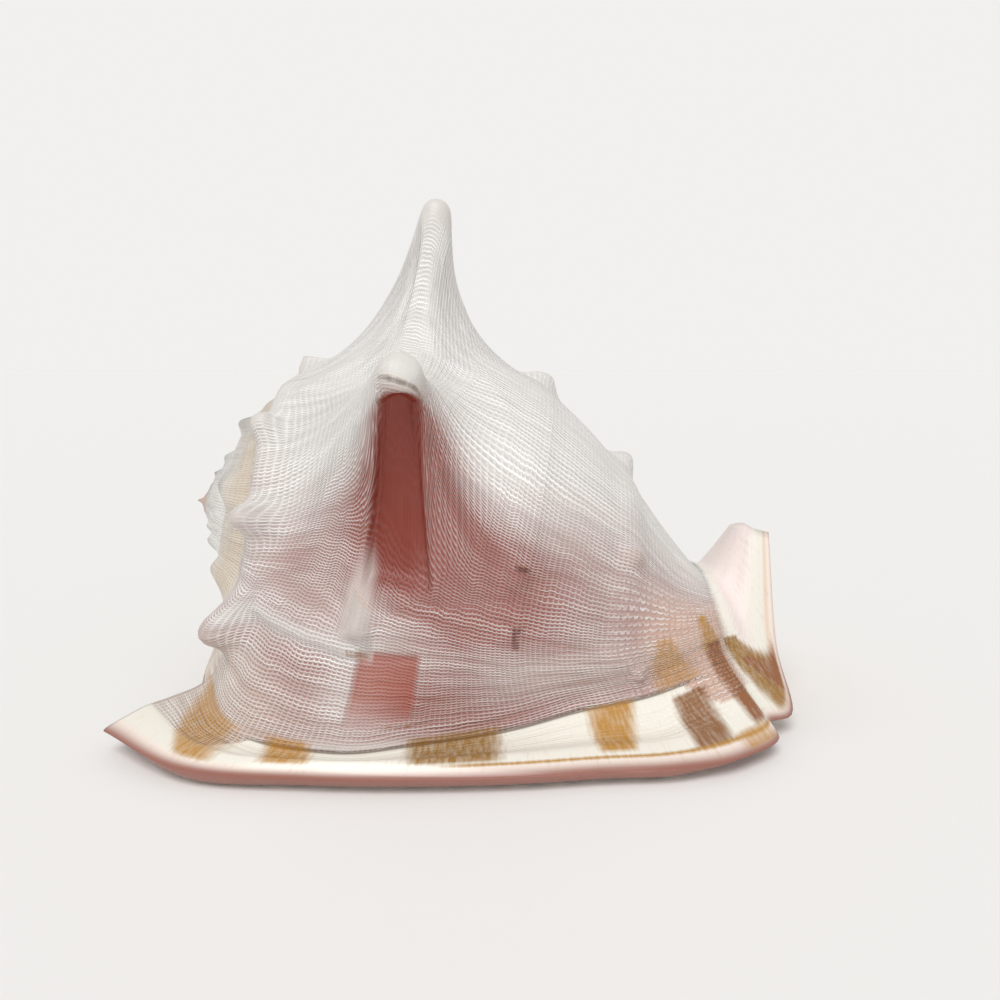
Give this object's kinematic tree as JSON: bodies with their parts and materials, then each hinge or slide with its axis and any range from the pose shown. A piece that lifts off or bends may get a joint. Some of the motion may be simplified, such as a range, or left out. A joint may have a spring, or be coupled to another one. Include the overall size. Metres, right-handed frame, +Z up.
{
  "type": "horned helmet shell",
  "caption": "Large helmet sea shell lying on its opening, with tall blunt horns, knobbed ridges, a low spire, a thick flared lip and an upturned canal.",
  "frame": {"origin": "on the resting plane, under the middle of the shell's bounding box", "axes": "+X towards the siphonal canal, the spire at -X; -Y is the outer lip, +Y the inner shield; +Z up, along the tallest horn"},
  "size_m": [0.2836, 0.241, 0.2307],
  "materials": {
    "shell": "off-white shell with a satin, finely netted surface, a glossy lip and ochre-brown bars on the strip above it"
  },
  "bodies": {
    "root": {"shell": "shell"}
  },
  "joints": []
}
